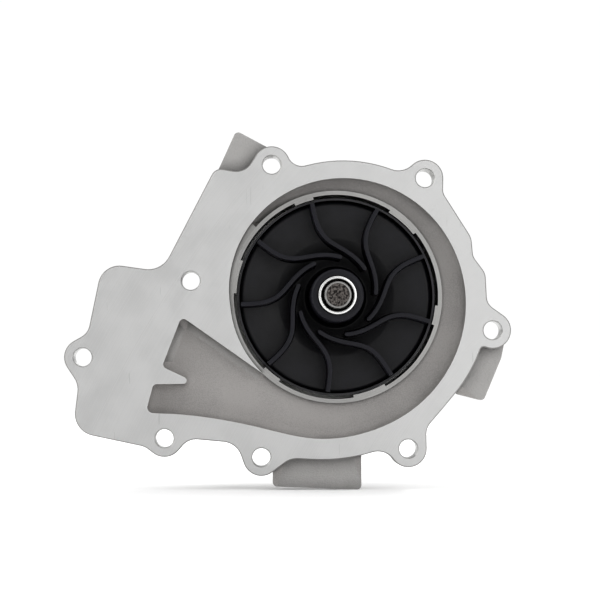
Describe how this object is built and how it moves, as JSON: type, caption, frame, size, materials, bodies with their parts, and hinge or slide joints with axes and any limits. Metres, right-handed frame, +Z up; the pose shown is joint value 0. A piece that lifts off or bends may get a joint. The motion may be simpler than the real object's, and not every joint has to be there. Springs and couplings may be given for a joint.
{
  "type": "coolant pump",
  "caption": "Engine coolant pump: lobed cast cover with spiral volute, black open impeller, sliding ring shutter and ribbed belt pulley.",
  "frame": {"origin": "on the shaft's axis, in the plane of the gasket face", "axes": "+Y along the shaft towards the pulley, -Y out of the gasket face towards the engine, +Z up, +X to the right when looking at the impeller"},
  "size_m": [0.1717, 0.1175, 0.1379],
  "materials": {
    "cast_aluminium": "die cast, machined on the gasket face",
    "machined_ring": "fine turned",
    "bronze": "sintered",
    "spring_steel": "drawn wire",
    "gasket": "pressed fibre",
    "plated_steel": "zinc plated",
    "screw_steel": "zinc plated",
    "brass": "turned",
    "cap_plastic": "moulded",
    "bearing_steel": "ground",
    "seal_rubber": "moulded",
    "carbon": "lapped",
    "ground_steel": "ground",
    "impeller_plastic": "glass-filled, moulded",
    "bright_steel": "turned and polished",
    "ceramic": "lapped",
    "hub_steel": "turned",
    "pulley_steel": "black coated",
    "cage_plastic": "moulded",
    "shutter_steel": "drawn sheet",
    "piston_plastic": "glass-filled"
  },
  "bodies": {
    "housing": {"pump_housing": "cast_aluminium", "shutter_guide_ring": "machined_ring", "rod_bushes": "bronze", "return_springs": "spring_steel", "cover_gasket": "gasket", "chamber_cover": "plated_steel", "cover_screws": "screw_steel", "vacuum_nipple": "brass", "weep_cap": "cap_plastic", "bearing_outer_ring": "bearing_steel", "bearing_lip_seals": "seal_rubber", "seal_cup": "brass", "seal_bellows": "seal_rubber", "seal_carbon_ring": "carbon", "seal_spring": "spring_steel"},
    "rotor": {"pump_shaft": "ground_steel", "impeller": "impeller_plastic", "impeller_insert": "bright_steel", "seal_mating_ring": "ceramic", "seal_rotor_boot": "seal_rubber", "pulley_hub": "hub_steel", "belt_pulley": "pulley_steel", "pulley_screws": "screw_steel"},
    "ball_row": {"bearing_balls": "bearing_steel", "ball_cage": "cage_plastic"},
    "roller_row": {"bearing_rollers": "bearing_steel", "roller_cage": "cage_plastic"},
    "shutter": {"shutter_sleeve": "shutter_steel", "shutter_rods": "ground_steel", "shutter_piston": "piston_plastic", "piston_seal_rings": "seal_rubber"}
  },
  "joints": [
    {"name": "rotor_spin", "type": "hinge", "parent": "housing", "child": "rotor", "pos_m": [0, 0.05, 0], "axis": [0, 1, 0], "continuous": true},
    {"name": "ball_row_spin", "type": "hinge", "parent": "housing", "child": "ball_row", "pos_m": [0, 0.045, 0], "axis": [0, 1, 0], "continuous": true},
    {"name": "roller_row_spin", "type": "hinge", "parent": "housing", "child": "roller_row", "pos_m": [0, 0.064, 0], "axis": [0, 1, 0], "continuous": true},
    {"name": "shutter_slide", "type": "slide", "parent": "housing", "child": "shutter", "axis": [0, -1, 0], "range_m": [0, 0.011], "stiffness_N_per_m": 900, "springref_m": -0.004, "deforming": ["return_springs"]}
  ],
  "couplings": [
    {"joint": "ball_row_spin", "follows": "rotor_spin", "ratio": 0.38},
    {"joint": "roller_row_spin", "follows": "rotor_spin", "ratio": 0.38}
  ]
}
